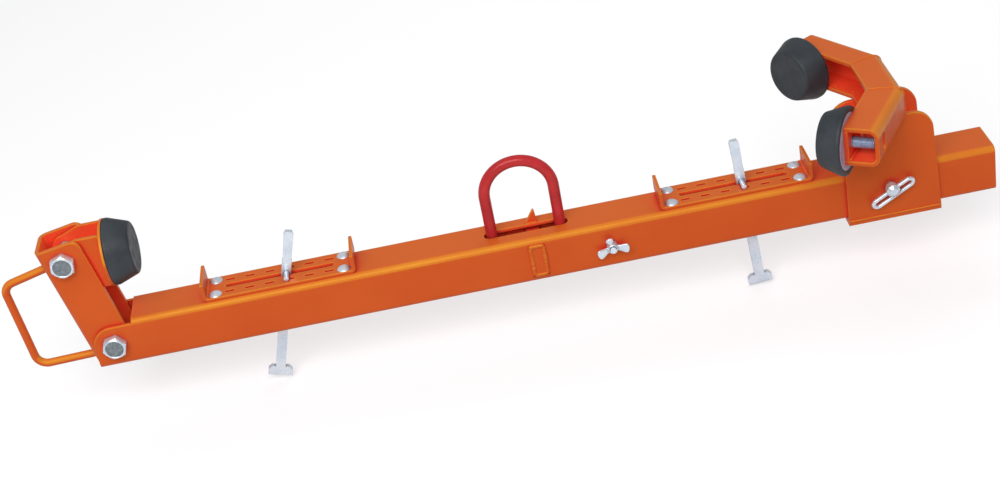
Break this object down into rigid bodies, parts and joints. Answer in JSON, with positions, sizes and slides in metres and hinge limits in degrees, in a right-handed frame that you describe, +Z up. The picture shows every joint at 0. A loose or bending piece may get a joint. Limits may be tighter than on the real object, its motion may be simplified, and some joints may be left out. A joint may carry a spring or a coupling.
{
  "type": "frame lifting clamp",
  "caption": "Square-tube lifting beam with a centre link, a hinged pad arm, a sliding C-shaped pad carrier and lifting keys in slotted plates.",
  "frame": {"origin": "the inner crown of the lifting link, where a crane hook bears, with the beam hanging below it", "axes": "+X along the beam from the hinged arm to the slider, +Y to the side away from the clamp screw, +Z up along the lifting line"},
  "size_m": [1.203, 0.2738, 0.2721],
  "materials": {
    "orange_paint": "gloss powder coat over steel",
    "red_paint": "satin powder coat on forged steel",
    "zinc": "bright zinc plate",
    "rubber": "matt moulded rubber"
  },
  "bodies": {
    "link": {"lifting_link": "red_paint"},
    "beam": {"beam_tube": "orange_paint", "link_crossbar": "orange_paint", "centre_pointer": "orange_paint", "plate_left": "orange_paint", "plate_right": "orange_paint", "plate_bolts": "zinc", "plate_nuts": "zinc", "wing_bolt": "zinc", "pivot_bolt": "zinc", "pivot_washer": "zinc", "pivot_nut": "zinc"},
    "arm": {"arm_channel": "orange_paint", "arm_handle": "orange_paint", "swivel_bolt": "zinc", "swivel_washer": "zinc", "swivel_nut": "zinc"},
    "swivel_pad": {"pad_bracket": "orange_paint", "round_plate": "orange_paint", "pad_disc_left": "zinc", "pad_rubber_left": "rubber"},
    "slider": {"slider_front_cheek": "orange_paint", "slider_rear_cheek": "orange_paint", "slider_floor": "orange_paint", "carrier_middle": "orange_paint", "carrier_front_leg": "orange_paint", "carrier_rear_leg": "orange_paint", "pad_plate_front": "orange_paint", "pad_plate_rear": "orange_paint", "pad_disc_front": "zinc", "pad_disc_rear": "zinc", "pad_rubber_front": "rubber", "pad_rubber_rear": "rubber"},
    "screw": {"clamp_screw": "zinc"},
    "loop": {"clamp_loop": "zinc"},
    "wing": {"wing_nut": "zinc"},
    "pin_left": {"key_pin_left": "zinc"},
    "pin_right": {"key_pin_right": "zinc"},
    "left_key": {"key_left": "zinc"},
    "right_key": {"key_right": "zinc"}
  },
  "joints": [
    {"name": "beam_lift", "type": "slide", "parent": "link", "child": "beam", "axis": [0, 0, 1], "range_m": [0, 0.092]},
    {"name": "arm_pivot", "type": "hinge", "parent": "beam", "child": "arm", "pos_m": [-0.5148, 0, -0.117], "axis": [0, 1, 0], "range_deg": [-4, 15]},
    {"name": "pad_swivel", "type": "hinge", "parent": "arm", "child": "swivel_pad", "pos_m": [-0.54355, 0, 0.00382], "axis": [0, 1, 0], "range_deg": [-12, 6]},
    {"name": "slider_slide", "type": "slide", "parent": "beam", "child": "slider", "axis": [1, 0, 0], "range_m": [-0.1, 0.06]},
    {"name": "clamp_turn", "type": "hinge", "parent": "slider", "child": "screw", "pos_m": [0.44, -0.045, -0.108], "axis": [0, 1, 0], "continuous": true},
    {"name": "loop_fold", "type": "hinge", "parent": "screw", "child": "loop", "pos_m": [0.44, -0.045, -0.108], "axis": [0.8746, 0, 0.4848], "range_deg": [-180, 8]},
    {"name": "wing_nut_turn", "type": "hinge", "parent": "beam", "child": "wing", "pos_m": [0.098, -0.035, -0.117], "axis": [0, 1, 0], "continuous": true},
    {"name": "left_key_slide", "type": "slide", "parent": "beam", "child": "pin_left", "axis": [1, 0, 0], "range_m": [-0.055, 0.04]},
    {"name": "left_key_tilt", "type": "hinge", "parent": "pin_left", "child": "left_key", "pos_m": [-0.295, 0, -0.0797], "axis": [0, 1, 0], "range_deg": [-34, 2]},
    {"name": "right_key_slide", "type": "slide", "parent": "beam", "child": "pin_right", "axis": [1, 0, 0], "range_m": [-0.055, 0.04]},
    {"name": "right_key_tilt", "type": "hinge", "parent": "pin_right", "child": "right_key", "pos_m": [0.267, 0, -0.0797], "axis": [0, 1, 0], "range_deg": [-14, 22]}
  ]
}
